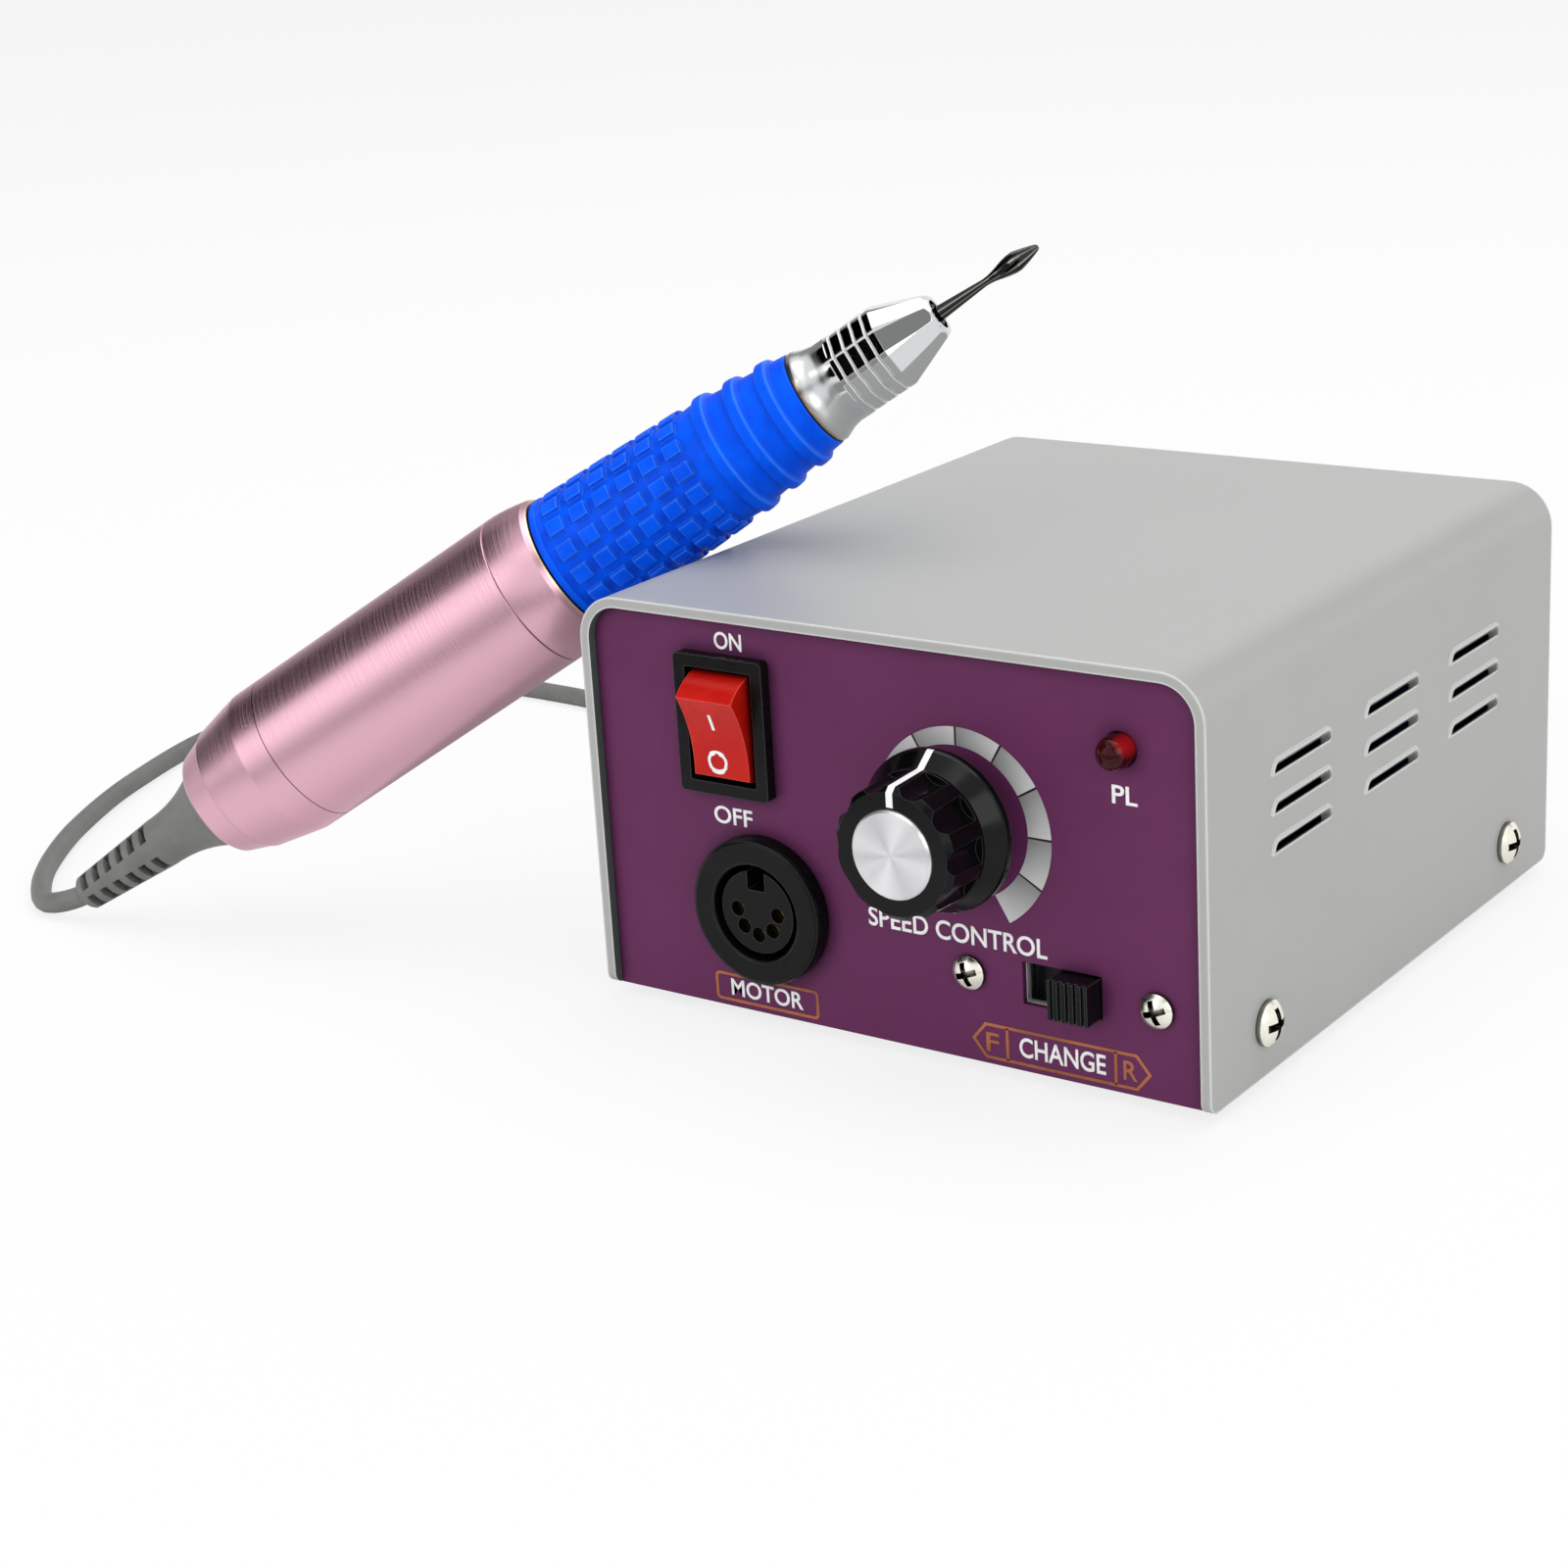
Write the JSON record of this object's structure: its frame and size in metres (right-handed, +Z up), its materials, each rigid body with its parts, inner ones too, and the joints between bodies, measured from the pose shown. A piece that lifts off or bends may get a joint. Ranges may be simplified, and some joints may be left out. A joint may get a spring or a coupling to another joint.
{
  "type": "nail drill machine",
  "caption": "Nail drill machine: a sheet-metal control box with rocker, speed knob and direction switch, and a corded handpiece with a soft grip leaning on it.",
  "frame": {"origin": "on the table, under the middle of the control box and handpiece together", "axes": "+X to the right seen from the front, +Y from the front panel to the rear wall, +Z up"},
  "size_m": [0.2638, 0.204, 0.1106],
  "materials": {
    "cover_paint": "satin",
    "panel_paint": "satin",
    "chassis_steel": "satin",
    "nickel": "polished",
    "foot_rubber": "matte",
    "black_plastic": "matte",
    "gloss_black": "gloss",
    "red_plastic": "gloss",
    "lamp_red": "gloss",
    "brass": "polished",
    "turned_aluminium": "brushed",
    "white_paint": "matte",
    "steel": "satin",
    "laminated_steel": "satin",
    "copper_winding": "satin",
    "phenolic": "matte",
    "board_green": "gloss",
    "cap_sleeve": "gloss",
    "pink_anodised": "satin anodised",
    "blue_rubber": "matte",
    "grey_rubber": "matte",
    "bright_nose": "turned and polished",
    "tool_steel": "dark",
    "magnet": "matte",
    "nylon": "matte"
  },
  "bodies": {
    "control_box": {"top_cover": "cover_paint", "chassis": "chassis_steel", "front_panel": "panel_paint", "cover_screws": "nickel", "rubber_feet": "foot_rubber", "rocker_housing": "black_plastic", "rocker_terminals": "brass", "din_housing": "black_plastic", "din_insert": "black_plastic", "din_contacts": "brass", "lamp_lens": "lamp_red", "lamp_holder": "black_plastic", "pot_body": "steel", "pot_nut": "nickel", "slide_switch_frame": "steel", "slide_switch_base": "phenolic", "switch_screws": "nickel", "transformer_core": "laminated_steel", "transformer_winding": "copper_winding", "transformer_strap": "steel", "transformer_screws": "nickel", "circuit_board": "board_green", "board_standoffs": "nylon", "capacitor": "cap_sleeve", "heat_sink": "turned_aluminium", "power_transistor": "black_plastic", "cable_gland": "black_plastic", "gland_nut": "black_plastic"},
    "rocker": {"rocker": "red_plastic"},
    "speed_knob": {"pot_shaft": "turned_aluminium", "speed_knob": "gloss_black", "knob_cap": "turned_aluminium", "knob_pointer": "white_paint"},
    "slide_lever": {"slide_lever": "black_plastic"},
    "handpiece": {"rear_cap": "pink_anodised", "motor_housing": "pink_anodised", "front_sleeve": "pink_anodised", "grip": "blue_rubber", "strain_relief": "grey_rubber", "motor_can": "steel", "motor_magnets": "magnet", "motor_end_cap": "black_plastic", "motor_brushes": "magnet", "bearing_outer_rings": "steel", "cord": "grey_rubber", "cord_coil": "grey_rubber", "cord_tie": "black_plastic", "plug_body": "black_plastic", "plug_shell": "steel", "plug_pins": "brass"},
    "nose": {"nose": "bright_nose"},
    "cam_sleeve": {"cam_sleeve": "steel"},
    "spindle": {"armature": "laminated_steel", "commutator": "copper_winding", "drive_coupling": "black_plastic", "bearing_inner_rings": "steel", "bearing_balls": "steel", "spindle": "steel", "collet": "steel"},
    "burr": {"burr": "tool_steel"}
  },
  "joints": [
    {"name": "power_rocker", "type": "hinge", "parent": "control_box", "child": "rocker", "pos_m": [0.0228, -0.0515, 0.0474], "axis": [-1, 0, 0], "range_deg": [0, 30]},
    {"name": "speed_turn", "type": "hinge", "parent": "control_box", "child": "speed_knob", "pos_m": [0.06236, -0.0525, 0.03862], "axis": [0, -1, 0], "range_deg": [-150, 150]},
    {"name": "direction_slide", "type": "slide", "parent": "control_box", "child": "slide_lever", "axis": [1, 0, 0], "range_m": [-0.0062, 0]},
    {"name": "handpiece_lift", "type": "slide", "parent": "control_box", "child": "handpiece", "axis": [0, 0, 1], "range_m": [0, 0.15]},
    {"name": "spindle_spin", "type": "hinge", "parent": "handpiece", "child": "spindle", "pos_m": [0.01068, -0.01624, 0.08526], "axis": [0.7652, 0.3568, 0.5358], "continuous": true},
    {"name": "nose_twist", "type": "hinge", "parent": "handpiece", "child": "nose", "pos_m": [0.02216, -0.01088, 0.0933], "axis": [0.7652, 0.3568, 0.5358], "range_deg": [0, 60]},
    {"name": "cam_slide", "type": "slide", "parent": "handpiece", "child": "cam_sleeve", "axis": [0.7652, 0.3568, 0.5358], "range_m": [-0.0016, 0]},
    {"name": "burr_pull", "type": "slide", "parent": "spindle", "child": "burr", "axis": [0.7652, 0.3568, 0.5358], "range_m": [0, 0.03]}
  ],
  "couplings": [
    {"joint": "cam_slide", "follows": "nose_twist", "m_per_rad": -0.001432}
  ]
}
